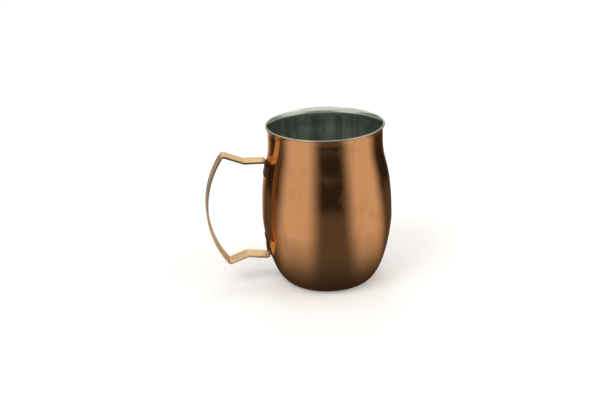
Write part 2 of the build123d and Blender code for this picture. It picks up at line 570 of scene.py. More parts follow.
@dataclass(frozen=True)
class PolishedCopper:
    """Lacquered polished copper, spun on a lathe, buffed round and round, then handled.

    To the eye: sharp warm reflections, drawn out a little up and down by the fine rings of the buff,
    with fingerprints and wipe marks that dull them in patches and a few hair scratches.
    """

    colour: str = "#DC9C67"
    worn_colour: str = "#C68552"
    edge_tint: str = "#F0C9A4"
    roughness: float = 0.12
    smudge_roughness: float = 0.10
    scratch_roughness: float = 0.09
    ring_depth: float = 0.0012
    scratch_depth: float = 0.0012
    stretch: float = 0.45
    coat: float = 0.25
    coat_roughness: float = 0.06

    def material(self) -> Material:
        """Builds the node material.

        Returns:
            The material.
        """
        material, tree, surface = new_material("polished_copper")
        place = add_node(tree, "TexCoord").outputs["Object"]
        # Buffing rings are 0.05 mm apart; drawn 0.6 mm apart so that they show.
        rings = stretched_noise(tree, place, (0.02, 0.02, 1.6), 3.0)
        smudges = stretched_noise(tree, place, (0.055, 0.055, 0.04), 4.0)
        wipes = stretched_noise(tree, place, (0.25, 0.25, 0.03), 3.0, (0.1, 0.25, 0.0))
        # Hair scratches are 0.02 mm wide; drawn 0.15 mm wide.
        scratch_a = stretched_noise(tree, place, (0.05, 0.05, 3.0), 1.0, (0.7, 0.5, 0.2))
        scratch_b = stretched_noise(tree, place, (2.4, 2.4, 0.04), 1.0, (0.3, -0.4, 0.9))
        fine_a = ramp(tree, scratch_a, 0.66, 0.76)
        fine_b = ramp(tree, scratch_b, 0.66, 0.76)
        scratches = total(tree, fine_a, fine_b)
        dull = ramp(tree, smudges, 0.48, 0.70)
        streaks = ramp(tree, wipes, 0.5, 0.8)
        worn = ramp(tree, total(tree, dull, streaks), 0.0, 2.0, 0.0, 0.55)
        colour = blended(tree, worn, linear(self.colour), linear(self.worn_colour))
        roughness = total(
            tree,
            self.roughness,
            ramp(tree, dull, 0.0, 1.0, 0.0, self.smudge_roughness),
            ramp(tree, streaks, 0.0, 1.0, 0.0, self.smudge_roughness * 0.5),
            ramp(tree, scratches, 0.0, 1.0, 0.0, self.scratch_roughness),
        )
        lines = relief(tree, rings, self.ring_depth)
        values = {
            "Base Color": colour,
            "Roughness": roughness,
            "Specular Tint": linear(self.edge_tint),
            "Anisotropic": self.stretch,
            "Tangent": round_and_round(tree),
            "Normal": relief(tree, scratches, self.scratch_depth, under=lines),
            "Coat Weight": self.coat,
            "Coat Roughness": self.coat_roughness,
        }
        metal_shader(tree, surface, values)
        return material


@dataclass(frozen=True)
class SatinStainless:
    """Austenitic stainless steel, drawn into a cup and rubbed up and down with a fine belt.

    To the eye: a cool grey that gathers light into soft upright streaks, with a lip buffed bright.
    Its colour is darker along the streaks: partly belt tone, partly painted reflection.
    """

    lip_colour: str = "#D0D4C9"
    # bronze tone on the crown of the rolled rim: a painted reflection
    crown_reflection_colour: str = "#AE9880"
    colour: str = "#D6DCD2"
    # darker colour of the streaks: partly belt tone, partly painted reflection
    streak_and_reflection_colour: str = "#8C9794"
    edge_tint: str = "#ECEEE8"
    roughness: float = 0.34
    lip_roughness: float = 0.16
    lip_height: float = 109.4
    crown_radius: float = 41.1
    floor_height: float = 8.5
    stretch: float = 0.7
    line_depth: float = 0.0035

    def material(self) -> Material:
        """Builds the node material.

        Returns:
            The material.
        """
        material, tree, surface = new_material("satin_stainless")
        place = add_node(tree, "TexCoord").outputs["Object"]
        height = add_node(tree, "SeparateXYZ", None, {0: place}).outputs["Z"]
        # Belt lines are 0.08 mm apart; drawn 0.5 mm apart, and broad streaks of them 8 mm apart, which
        # also darken the colour: partly belt tone, partly painted reflection.
        lines = stretched_noise(tree, place, (2.0, 2.0, 0.02), 3.0)
        streaks = stretched_noise(tree, place, (0.13, 0.13, 0.003), 2.0)
        spots = stretched_noise(tree, place, (0.1, 0.1, 0.1), 4.0)
        # The floor is spun, so there the lines run in rings round the axis.
        out = from_axis(tree, place)
        spin = add_node(tree, "CombineXYZ", None, {"X": out}).outputs["Vector"]
        rings = stretched_noise(tree, spin, (0.6, 1.0, 1.0), 3.0)
        upright = total(tree, streaks, streaks, lines)
        on_wall = ramp(tree, height, (self.floor_height - 1.0) * MM, self.floor_height * MM)
        drawn = add_node(
            tree,
            "Mix",
            {"data_type": "FLOAT"},
            {"Factor": on_wall, "A": total(tree, rings, rings, rings), "B": upright},
        )
        share = ramp(tree, drawn.outputs["Result"], 1.25, 1.8)
        # Darker where the wall's streaks and the floor's rings gather: partly belt and spinning tone,
        # partly painted reflection.
        brushed = blended(tree, share, linear(self.colour), linear(self.streak_and_reflection_colour))
        belt = ramp(tree, height, (self.lip_height - 1.5) * MM, (self.lip_height + 1.0) * MM, 1.0, 0.0)
        # Beyond the crown radius the roll is painted bronze: a painted reflection on the rim.
        crown_reflection = ramp(tree, out, (self.crown_radius - 0.3) * MM, self.crown_radius * MM)
        buffed = blended(tree, crown_reflection, linear(self.lip_colour), linear(self.crown_reflection_colour))
        colour = blended(tree, belt, buffed, brushed)
        satin = total(
            tree,
            self.roughness - self.lip_roughness,
            ramp(tree, streaks, 0.3, 0.7, -0.06, 0.06),
            ramp(tree, spots, 0.4, 0.7, 0.0, 0.05),
        )
        extra = worked(tree, "MULTIPLY", satin, belt)
        roughness = total(tree, self.lip_roughness, extra, ramp(tree, spots, 0.5, 0.8, 0.0, 0.05))
        values = {
            "Base Color": colour,
            "Roughness": roughness,
            "Specular Tint": linear(self.edge_tint),
            "Anisotropic": self.stretch,
            "Tangent": round_and_round(tree),
            "Normal": relief(tree, worked(tree, "MULTIPLY", lines, belt), self.line_depth),
        }
        metal_shader(tree, surface, values)
        return material


@dataclass(frozen=True)
class SatinStrap:
    """Copper-plated strip, linished lengthwise, with a clear lacquer.

    To the eye: paler and softer than the barrel, with fine lines along the strip, and dull where
    fingers close round it.
    """

    colour: str = "#EBCDA0"
    worn_colour: str = "#D2A673"
    # dark colour of both ends: painted shade
    foot_shade_colour: str = "#3B2413"
    edge_tint: str = "#F8E8D0"
    roughness: float = 0.26
    line_depth: float = 0.0015
    foot_shade_length: float = 9.5
    foot_shade_fade: float = 3.5

    def material(self, strip_length: float) -> Material:
        """Builds the node material, whose lines follow the strip's own UV map.

        Both ends are painted dark, up to the shaded length from each tip: painted shade where the
        feet lie on the barrel.

        Args:
            strip_length: length of the strip along its path, in millimetres.

        Returns:
            The material.
        """
        material, tree, surface = new_material("satin_strap")
        along = add_node(tree, "UVMap", {"uv_map": "surface"}).outputs["UV"]
        place = add_node(tree, "TexCoord").outputs["Object"]
        # Linishing lines are 0.06 mm apart; drawn 0.4 mm apart.
        lines = stretched_noise(tree, along, (0.04, 2.6, 0.0), 3.0)
        handling = stretched_noise(tree, place, (0.12, 0.12, 0.10), 4.0)
        nicks = stretched_noise(tree, place, (0.9, 0.9, 0.9), 2.0)
        worn = ramp(tree, total(tree, lines, handling), 0.8, 1.4, 0.0, 0.7)
        clean = blended(tree, worn, linear(self.colour), linear(self.worn_colour))
        run = add_node(tree, "SeparateXYZ", None, {0: along}).outputs["X"]
        half = strip_length / 2 * MM
        reach = worked(tree, "ABSOLUTE", worked(tree, "SUBTRACT", run, half))
        # Painted shade at both feet: the ends turn dark, a little less metallic and rougher.
        edge = half - self.foot_shade_length * MM
        ragged = total(tree, reach, ramp(tree, handling, 0.3, 0.7, -0.001, 0.001))
        foot_shade = ramp(tree, ragged, edge - self.foot_shade_fade * MM, edge, 0.0, 0.94)
        colour = blended(tree, foot_shade, clean, linear(self.foot_shade_colour))
        roughness = total(
            tree,
            self.roughness,
            ramp(tree, handling, 0.4, 0.7, -0.04, 0.10),
            ramp(tree, lines, 0.3, 0.7, -0.03, 0.05),
            ramp(tree, nicks, 0.66, 0.78, 0.0, 0.06),
            ramp(tree, foot_shade, 0.0, 1.0, 0.0, 0.2),
        )
        values = {
            "Base Color": colour,
            "Metallic": ramp(tree, foot_shade, 0.0, 1.0, 1.0, 0.85),
            "Roughness": roughness,
            "Specular Tint": linear(self.edge_tint),
            "Normal": relief(tree, lines, self.line_depth),
        }
        metal_shader(tree, surface, values)
        return material


@dataclass(frozen=True)
class FlowedBraze:
    """Silver braze that has run and been wire-brushed, then lacquered with the rest.

    To the eye: a duller, browner, slightly lumpy copper colour in the corners of the joints.
    """

    colour: str = "#A8714A"
    scale_colour: str = "#5E3B28"
    roughness: float = 0.42
    lump_depth: float = 0.06
    lump_share: float = 0.6

    def material(self) -> Material:
        """Builds the node material.

        Returns:
            The material.
        """
        material, tree, surface = new_material("flowed_braze")
        place = add_node(tree, "TexCoord").outputs["Object"]
        lumps = stretched_noise(tree, place, (0.8, 0.8, 0.8), 3.0)
        stain = stretched_noise(tree, place, (0.3, 0.3, 0.3), 4.0)
        share = ramp(tree, stain, 0.4, 0.62)
        colour = blended(tree, share, linear(self.colour), linear(self.scale_colour))
        roughness = total(tree, self.roughness, ramp(tree, stain, 0.4, 0.7, -0.06, 0.2))
        normal = relief(tree, lumps, self.lump_depth, self.lump_share)
        metal_shader(tree, surface, {"Base Color": colour, "Roughness": roughness, "Normal": normal})
        return material


@dataclass(frozen=True)
class SpunCopperDisc:
    """Pressed copper sheet, faced on a lathe and left without a final buff.

    To the eye: rings round the middle, a matter face than the barrel, browned by handling.
    """

    colour: str = "#D39064"
    worn_colour: str = "#96603E"
    edge_tint: str = "#EBC3A0"
    roughness: float = 0.30
    ring_depth: float = 0.006

    def material(self) -> Material:
        """Builds the node material, whose rings follow the distance from the axis.

        Returns:
            The material.
        """
        material, tree, surface = new_material("spun_copper_disc")
        place = add_node(tree, "TexCoord").outputs["Object"]
        ring_place = add_node(tree, "CombineXYZ", None, {0: from_axis(tree, place)}).outputs[0]
        # Facing rings are 0.1 mm apart; drawn 0.5 mm apart.
        rings = stretched_noise(tree, ring_place, (2.0, 0.0, 0.0), 3.0)
        stain = stretched_noise(tree, place, (0.12, 0.12, 0.12), 4.0)
        share = ramp(tree, total(tree, stain, rings), 0.85, 1.2, 0.0, 0.8)
        colour = blended(tree, share, linear(self.colour), linear(self.worn_colour))
        roughness = total(tree, self.roughness, ramp(tree, stain, 0.4, 0.7, -0.05, 0.15))
        values = {
            "Base Color": colour,
            "Roughness": roughness,
            "Specular Tint": linear(self.edge_tint),
            "Normal": relief(tree, rings, self.ring_depth),
        }
        metal_shader(tree, surface, values)
        return material


# ---------------------------------------------------------------------------
# Barrel
# ---------------------------------------------------------------------------


@dataclass
class WallLine:
    """Outside line of the barrel from foot ring to rim, shared by the shell, liner and handle."""

    height: float = 114.5
    rim_radius: float = 41.4
    neck_radius: float = 39.95
    neck_depth: float = 10.2
    flare_depth: float = 5.2
    belly_radius: float = 46.0
    belly_height: float = 47.2
    foot_radius: float = 29.0
    foot_corner_radius: float = 3.8
    foot_wall_angle: float = 35.0
    flange_width: float = 3.0
    base_fullness: float = 0.74
    belly_lower_hold: float = 0.11
    belly_upper_hold: float = 0.715
    neck_hold: float = 0.35
    shell_wall: float = 0.4
    liner_wall: float = 0.4
    rim_clearance: float = 0.05

    def __post_init__(self) -> None:
        """Works out the lines that the sizes imply."""
        self.neck_height = self.height - self.neck_depth
        self.flare_height = self.height - self.flare_depth
        slope = math.radians(self.foot_wall_angle)
        self.corner_end = (
            self.foot_radius + self.foot_corner_radius * math.sin(slope),
            self.foot_corner_radius * (1 - math.cos(slope)),
        )
        run = self.base_fullness * (self.belly_radius - self.corner_end[0])
        rise = self.neck_height - self.belly_height
        self.base_controls = (
            self.corner_end,
            (self.corner_end[0] + run, self.corner_end[1] + run * math.tan(slope)),
            (
                self.belly_radius,
                self.belly_height - self.belly_lower_hold * (self.belly_height - self.corner_end[1]),
            ),
            (self.belly_radius, self.belly_height),
        )
        self.shoulder_controls = (
            (self.belly_radius, self.belly_height),
            (self.belly_radius, self.belly_height + self.belly_upper_hold * rise),
            (self.neck_radius, self.neck_height - self.neck_hold * rise),
            (self.neck_radius, self.neck_height),
        )
        self.roll_radius = self.shell_wall / 2 + self.rim_clearance + self.liner_wall
        self.edge_centre = (self.rim_radius - self.roll_radius, self.height - self.roll_radius)
        flare_rise = self.edge_centre[1] - self.flare_height
        flare_run = self.edge_centre[0] - (self.neck_radius - self.shell_wall / 2)
        self.flare_angle = 2 * math.atan2(flare_run, flare_rise)
        self.flare_radius = flare_rise / math.sin(self.flare_angle)
        self.flare_centre = (
            self.neck_radius - self.shell_wall / 2 + self.flare_radius,
            self.flare_height,
        )

    def outside(self) -> Array:
        """Outside line: flat ring, corner arc, two Bezier curves, straight neck and flare arc.

        Returns:
            (radius, height) points from the foot ring's inner edge to the top edge.
        """
        ring = straight((self.foot_radius - self.flange_width, 0.0), (self.foot_radius, 0.0), 6)
        quarter = -math.pi / 2
        corner = arc(
            (self.foot_radius, self.foot_corner_radius),
            self.foot_corner_radius,
            quarter,
            quarter + math.radians(self.foot_wall_angle),
            10,
        )
        neck = straight((self.neck_radius, self.neck_height), (self.neck_radius, self.flare_height), 5)
        flare = arc(
            self.flare_centre,
            self.flare_radius - self.shell_wall / 2,
            math.pi,
            math.pi - self.flare_angle,
            10,
        )
        return join_runs(
            ring,
            corner,
            bezier(self.base_controls, 70),
            bezier(self.shoulder_controls, 76),
            neck,
            flare,
        )

    def radius_at(self, level: Array) -> Array:
        """Outside radius at heights, read off the outside line by linear interpolation."""
        line = self.outside()[6:]
        return np.interp(level, line[:, 1], line[:, 0])


@dataclass
class Barrel:
    """The spun copper shell of the mug."""

    wall: WallLine
    around: int = 384
    inside_rows: int = 60
    unevenness: float = 0.012
    # Each wave: its share, how many go round, millimetres of height to a radian, and its start.
    waves: tuple[tuple[float, int, float, float], ...] = (
        (0.40, 5, 9.0, 0.0),
        (0.34, 9, -5.5, 1.3),
        (0.26, 14, 3.1, 0.4),
    )
    even_foot: float = 2.0
    even_neck: float = 108.0
    fade_run: float = 12.0
    finish: PolishedCopper = field(default_factory=PolishedCopper)

    def build(self) -> Piece:
        """Builds and dresses the shell.

        The profile goes up the outside and comes back down the inside, one wall thickness in. The
        outside is drawn in by a few hundredths of a millimetre in slow waves round and up the wall,
        as a spun wall is, so that straight reflections waver.

        Returns:
            The shell.
        """
        wall = self.wall
        outside = wall.outside()
        inner = outside + left_normals(outside) * wall.shell_wall
        rows = np.linspace(len(inner) - 1, 0, self.inside_rows).round().astype(int)
        profile = np.concatenate([outside, inner[rows]])
        points, quads, triangles = revolved(profile, self.around, True)
        grid = points.reshape(len(profile), self.around, 3)
        angle = once_round(self.around)
        height = grid[:, :, 2]
        wave = sum(
            share * np.sin(count * angle + height / run + start)
            for share, count, run, start in self.waves
        )
        is_outside = (np.arange(len(profile)) < len(outside))[:, None]
        above_foot = np.clip((height - self.even_foot) / self.fade_run, 0, 1)
        below_neck = np.clip((self.even_neck - height) / self.fade_run, 0, 1)
        fade = above_foot * below_neck * is_outside
        scale = 1 - self.unevenness * (1 + wave) * fade / np.hypot(grid[..., 0], grid[..., 1])
        grid[..., 0] *= scale
        grid[..., 1] *= scale
        piece = make_piece("barrel_copper", grid.reshape(-1, 3), quads, triangles)
        return dress(piece, self.finish.material(), Slot.COPPER, "copper_shell")


@dataclass
class Liner:
    """The stainless well with its flared lip and rolled rim."""

    wall: WallLine
    bottom_height: float = 6.5
    bottom_radius: float = 33.0
    corner_radius: float = 8.0
    land_depth: float = 13.0
    land_blend: float = 90.0
    roll_length: float = 0.15
    around: int = 304
    finish: SatinStainless = field(default_factory=SatinStainless)

    def back_line(self) -> Array:
        """Outer line of the liner: floor, corner arc, taper, land, flare arc, roll and its leg.

        Returns:
            (radius, height) points from the axis to the end of the roll's leg.
        """
        wall = self.wall
        neck = wall.neck_radius - wall.shell_wall - wall.rim_clearance
        roll = wall.shell_wall / 2 + wall.rim_clearance
        land_height = wall.height - self.land_depth
        well = rounded_legs(
            [
                straight((0.0, self.bottom_height), (self.bottom_radius, self.bottom_height), 30),
                straight((self.bottom_radius, self.bottom_height), (neck, land_height), 70),
                straight((neck, land_height), (neck, wall.flare_height), 8),
            ],
            [self.corner_radius, self.land_blend],
            14,
        )
        turn = math.pi - wall.flare_angle
        flare = arc(wall.flare_centre, wall.flare_radius + roll, math.pi, turn, 12)
        over = arc(wall.edge_centre, roll, turn, turn - math.pi, 24)
        leg_radius = wall.flare_radius - roll
        leg = arc(wall.flare_centre, leg_radius, turn, turn + self.roll_length / leg_radius, 3)
        return join_runs(well, flare, over, leg)

    def build(self) -> Piece:
        """Builds and dresses the liner.

        The face line lies one wall thickness to the left of the back line, which is the drink's
        side, then the top of the roll and the outside of its leg. The profile goes out along the
        face and home along the back.

        Returns:
            The liner.
        """
        back = self.back_line()
        face = back + left_normals(back) * self.wall.liner_wall
        face[0, 0] = 0.0
        profile = np.concatenate([face, back[::-1]])
        points, quads, triangles = revolved(profile, self.around, False)
        piece = make_piece("liner_steel", points, quads, triangles)
        return dress(piece, self.finish.material(), Slot.STAINLESS, "steel_liner")


@dataclass
class Underside:
    """Base disc inside the foot ring, and the braze that seals it."""

    wall: WallLine
    plate_wall: float = 0.5
    edge_clearance: float = 0.3
    recess: float = 1.6
    rim_width: float = 4.0
    step_width: float = 2.0
    bend_radius: float = 0.8
    seam_leg: float = 0.8
    seam_lift: float = 0.05
    around: int = 256
    disc_finish: SpunCopperDisc = field(default_factory=SpunCopperDisc)
    seam_finish: FlowedBraze = field(default_factory=FlowedBraze)

    def build_disc(self) -> Piece:
        """Builds and dresses the disc: a stepped line from axis to edge, turned into a plate.

        Returns:
            The disc.
        """
        low = self.wall.shell_wall
        edge = self.wall.foot_radius - self.edge_clearance
        step = edge - self.rim_width
        top = low + self.recess
        under = rounded_legs(
            [
                straight((0.0, top), (step - self.step_width, top), 30),
                straight((step - self.step_width, top), (step, low), 6),
                straight((step, low), (edge, low), 6),
            ],
            [self.bend_radius, self.bend_radius],
            8,
        )
        over = under + left_normals(under) * self.plate_wall
        over[0, 0] = 0.0
        points, quads, triangles = revolved(np.concatenate([under, over[::-1]]), self.around, False)
        piece = make_piece("base_disc", points, quads, triangles)
        return dress(piece, self.disc_finish.material(), Slot.COPPER, "base_plate")

    def build_seam(self) -> Piece:
        """Builds and dresses the seam: a ring with a hollow-faced fillet for its section.

        Returns:
            The seam.
        """
        outer = self.wall.foot_radius - self.wall.flange_width
        low = self.wall.shell_wall
        face = bezier(
            (
                (outer - self.seam_leg, low),
                (outer - self.seam_leg * 0.45, low - 0.02),
                (outer - 0.03, low - 0.16),
                (outer, self.seam_lift),
            ),
            8,
        )
        profile = np.concatenate([face, straight((outer, low), (outer - self.seam_leg, low), 2)[:-1]])
        points, quads, triangles = revolved(profile, self.around, True)
        piece = make_piece("base_seam", points, quads, triangles)
        return dress(piece, self.seam_finish.material(), Slot.BRAZE, "base_seam_braze")


# ---------------------------------------------------------------------------
# Handle
# ---------------------------------------------------------------------------


@dataclass
class Handle:
    """The bent strap and the two joints that hold its feet to the barrel."""

    wall: WallLine
    width: float = 11.2
    thickness: float = 1.65
    edge_break: float = 0.25
    foot_end_radius: float = 2.5
    bend_radius: float = 1.6
    knee_radius: float = 2.4
    grip_corner_radius: float = 2.0
    grip_sagitta: float = 13.2
    upper_run_height: float = 90.6
    upper_foot_length: float = 10.8
    upper_knee: tuple[float, float] = (16.3, 0.5)
    upper_corner: tuple[float, float] = (30.8, 6.4)
    lower_run_height: float = 19.4
    lower_foot_length: float = 15.8
    lower_knee: tuple[float, float] = (16.9, 2.1)
    lower_corner: tuple[float, float] = (29.8, -2.5)
    gap: float = 0.2
    foot_gap: float = 0.06
    foot_thickness: float = 0.55
    upper_taper: float = 3.0
    lower_taper: float = 10.0
    face_supports: tuple[float, ...] = (0.97, 0.85, 0.4, -0.4, -0.85, -0.97)
    side_supports: tuple[float, ...] = (0.8, -0.8)
    bead: float = 0.4
    joint_steps: int = 160
    joint_squareness: float = 5.0
    joint_pad: float = 0.93
    joint_inset: float = 0.985
    joint_sunk: float = 0.04
    joint_lap: float = 0.06
    finish: SatinStrap = field(default_factory=SatinStrap)
    joint_finish: FlowedBraze = field(default_factory=FlowedBraze)

    def foot_line(self, first: float, last: float) -> Array:
        """Centre line of a foot between two heights: the wall's line moved out by gap and half strap."""
        level = np.linspace(first, last, 16)
        reach = self.wall.radius_at(level) + self.gap + self.thickness / 2
        return np.stack([-reach, level], -1)

    def reach(self, run_height: float, place: tuple[float, float]) -> Array:
        """Point at a reach from the wall and a rise from a run, as (x, z)."""
        radius = float(self.wall.radius_at(np.array([run_height]))[0])
        return np.array([-radius - place[0], run_height + place[1]])

    def path(self) -> Array:
        """Centre line of the strap as (x, z), from the tip of its upper foot to that of its lower.

        Feet follow the wall, runs are straight, and the grip is the arc through its two corners
        that bows out by the sagitta.

        Returns:
            The points.
        """
        upper = self.foot_line(self.upper_run_height - self.upper_foot_length, self.upper_run_height)
        lower = self.foot_line(self.lower_run_height, self.lower_run_height + self.lower_foot_length)
        knee_a = self.reach(self.upper_run_height, self.upper_knee)
        corner_a = self.reach(self.upper_run_height, self.upper_corner)
        knee_b = self.reach(self.lower_run_height, self.lower_knee)
        corner_b = self.reach(self.lower_run_height, self.lower_corner)
        chord = corner_b - corner_a
        half = np.linalg.norm(chord) / 2
        along = chord / (2 * half)
        outward = np.array([along[1], -along[0]])
        radius = (half**2 + self.grip_sagitta**2) / (2 * self.grip_sagitta)
        centre = (corner_a + corner_b) / 2 + outward * (self.grip_sagitta - radius)
        sweep = math.asin(half / radius)
        middle = math.atan2(outward[1], outward[0])
        grip = arc((centre[0], centre[1]), radius, middle - sweep, middle + sweep, 110)
        if np.linalg.norm(grip[0] - corner_a) > np.linalg.norm(grip[-1] - corner_a):
            grip = grip[::-1]
        grip[0], grip[-1] = corner_a, corner_b
        return rounded_legs(
            [
                upper,
                straight(upper[-1], knee_a, 20),
                straight(knee_a, corner_a, 20),
                grip,
                straight(corner_b, knee_b, 20),
                straight(knee_b, lower[0], 20),
                lower,
            ],
            [
                self.bend_radius,
                self.knee_radius,
                self.grip_corner_radius,
                self.grip_corner_radius,
                self.knee_radius,
                self.bend_radius,
            ],
            14,
        )

    def build_strap(self) -> Piece:
        """Builds and dresses the strap.

        Formula: a rounded rectangle is carried along the path. Near each tip its half width follows
        the tip's plan radius, and its half thickness follows the edge break, so both ends are round.
        Along each foot a smooth step thins the strap, sets it down on the wall and bends it across
        its width by the rise of the wall's circle, so that it lies flat on the barrel.
        Its UV map is the distance along the path and the distance round the section.

        Returns:
            The strap.
        """
        path = self.path()
        along = lengths(path)
        tips = np.concatenate([np.linspace(0, 0.3, 5), np.linspace(0.45, self.foot_end_radius, 10)])
        inside = along[(along > self.foot_end_radius) & (along < along[-1] - self.foot_end_radius)]
        places = np.concatenate([tips, inside, along[-1] - tips[::-1]])
        centre = read_off(places, along, path)
        normal = read_off(places, along, left_normals(path))
        normal /= np.linalg.norm(normal, axis=1, keepdims=True)
        to_tip = np.minimum(places, along[-1] - places)
        plan = np.clip(self.foot_end_radius - to_tip, 0, self.foot_end_radius)
        half_width = self.width / 2 - (
            self.foot_end_radius - np.sqrt(self.foot_end_radius**2 - plan**2)
        )
        ease = np.clip(self.edge_break - to_tip, 0, self.edge_break)
        drawn_in = self.edge_break - np.sqrt(self.edge_break**2 - ease**2)
        half_width = np.maximum(half_width - drawn_in, 1.0)
        is_upper = places < along[-1] / 2
        foot = np.where(is_upper, self.upper_foot_length, self.lower_foot_length) - self.bend_radius
        taper = np.where(is_upper, self.upper_taper, self.lower_taper)
        thin = eased((foot - to_tip) / taper)[:, None]
        beaten = thin * (self.thickness - self.foot_thickness) / 2
        half_depth = (self.thickness / 2 - drawn_in)[:, None] - beaten
        # Section: four rounded corners with support points close to them on the flat faces.
        turn = np.linspace(0, math.pi / 2, 7)
        section = []
        for quarter, (sign_y, sign_n) in enumerate(((1, 1), (-1, 1), (-1, -1), (1, -1))):
            for angle in turn + quarter * math.pi / 2:
                section.append((sign_y, sign_n, math.cos(angle), math.sin(angle)))
            if quarter % 2 == 0:
                section += [(sign_y * place, sign_n, 0.0, sign_n) for place in self.face_supports]
            else:
                section += [(sign_y, sign_n * place, sign_y, 0.0) for place in self.side_supports]
        across, through, round_y, round_n = np.array(section).T
        edge = self.edge_break * 0.98
        y = (half_width[:, None] - edge) * across + edge * round_y
        corner = np.minimum(edge, half_depth)
        n = (half_depth - corner) * through + corner * round_n
        n = n - beaten - thin * (self.gap - self.foot_gap)
        wall = self.wall.radius_at(centre[:, 1])[:, None]
        x = centre[:, :1] + normal[:, :1] * n + thin * (wall - np.sqrt(wall**2 - y**2))
        z = centre[:, 1:] + normal[:, 1:] * n
        points = np.stack([x, y, z], -1)
        ends = points[[0, -1]].mean(axis=1)
        middle = len(points) // 2
        girth = lengths(np.stack([y[middle], n[middle]], -1))
        uv = np.stack(np.broadcast_arrays(places[:, None], girth[None, :]), -1).reshape(-1, 2) * MM
        uv = np.concatenate([uv, uv[[0, -1]]])
        everything = np.concatenate([points.reshape(-1, 3), ends])
        piece = make_piece("handle_strap_plated", everything, *tube_faces(*x.shape), uv)
        return dress(piece, self.finish.material(along[-1]), Slot.STRAP, "handle_strap")

    def build_joint(self, name: str, node: str, low: float, high: float) -> Piece:
        """Builds and dresses the braze behind one foot.

        Formula: a pad in polar coordinates over the foot's rounded outline. Its back lies just in
        the wall, its front lies on the back of the foot, and past the outline the front falls to the
        wall in a hollow curve, whose width swells and shrinks slowly round the outline.

        Args:
            name: name of the piece.
            node: node that it stands for.
            low: lowest height of the foot.
            high: highest height of the foot.

        Returns:
            The joint.
        """
        angle = once_round(self.joint_steps)
        middle, half_y, half_z = (low + high) / 2, self.width / 2, (high - low) / 2
        power = self.joint_squareness
        grow = (np.abs(np.cos(angle)) ** power + np.abs(np.sin(angle)) ** power) ** (-1 / power)
        outline_y, outline_z = np.cos(angle) * grow, np.sin(angle) * grow
        share = np.concatenate([np.linspace(0.05, self.joint_pad, 10), np.linspace(0.95, 1.0, 12)])
        swell = self.bead * (1 + 0.22 * np.sin(3 * angle + low) + 0.14 * np.sin(7 * angle + high))
        past = np.clip((share - self.joint_pad) / (1 - self.joint_pad), 0, 1)[:, None]
        out = share[:, None] * self.joint_inset
        y = out * outline_y * half_y + past * swell * outline_y
        z = middle + out * outline_z * half_z + past * swell * outline_z
        wall = self.wall.radius_at(np.clip(z, 1.0, 110.0))
        to_wall = np.sqrt(np.maximum(wall**2 - y**2, 0)) - self.joint_sunk
        foot = wall + self.foot_gap + self.joint_lap
        fall = np.where(past > 0, (1 - past) ** 2 * 1.35, 1.0).clip(0, 1)
        front = to_wall + 0.03 + (foot - to_wall) * fall
        front[-1] = to_wall[-1]
        grid_front = np.stack([-front, y, z], -1)
        grid_back = np.stack([-to_wall, y, z], -1)[-2::-1]
        grid = np.concatenate([grid_front, grid_back])
        radius = float(self.wall.radius_at(np.array([middle]))[0])
        front_pole = [-(radius + self.foot_gap + self.joint_lap), 0, middle]
        points = np.concatenate([grid.reshape(-1, 3), [front_pole, [self.joint_sunk - radius, 0, middle]]])
        piece = make_piece(name, points, *tube_faces(len(grid), self.joint_steps))
        return dress(piece, self.joint_finish.material(), Slot.BRAZE, node)

    def build(self) -> list[Piece]:
        """Builds the strap and both joints.

        Returns:
            The three pieces.
        """
        top = self.upper_run_height
        bottom = self.lower_run_height
        return [
            self.build_strap(),
            self.build_joint("upper_joint", "upper_foot_braze", top - self.upper_foot_length, top),
            self.build_joint("lower_joint", "lower_foot_braze", bottom, bottom + self.lower_foot_length),
        ]


# ---------------------------------------------------------------------------
# Studio
# ---------------------------------------------------------------------------


@dataclass(frozen=True)
class Card:
    """One soft-edged card of the surround, placed by azimuth and by distance along table and wall.

    Azimuth is in degrees from -Y towards +X. Distance is in millimetres up the wall, or negative
    inwards across the table from the wall's foot.
    """

    middle: float
    span: float
    low: float
    high: float
    tone: str
    side_blur: float
    end_blur: float

    def share(self, azimuth: Array, distance: Array) -> Array:
        """How much of the card shows at each place: smooth steps across its sides and its ends.

        Args:
            azimuth: degrees.
            distance: millimetres.

        Returns:
            A share from 0 to 1 at each place.
        """
        off = np.abs((azimuth - self.middle + 180) % 360 - 180)
        side = eased((self.span / 2 - off) / self.side_blur + 0.5)
        start = eased((distance - self.low) / self.end_blur + 0.5)
        end = eased((self.high - distance) / self.end_blur + 0.5)
        return side * start * end


ALL_ROUND = 720  # a span this wide has no sides
CARDS = (
    # Grey table, and a white ring high on the wall
    Card(0, ALL_ROUND, -420, -100, "#606060", 6, 200),
    Card(0, ALL_ROUND, 200, 420, "#FFFFFF", 6, 160),
    # Three equal soft boxes, evenly spaced, with their glow on the table
    *(Card(middle, 60, -330, 420, "#E8E8E8", 30, 160) for middle in (-60, 60, 180)),
    # Shade under the belly
    Card(0, ALL_ROUND, -440, -350, "#303030", 6, 60),
)


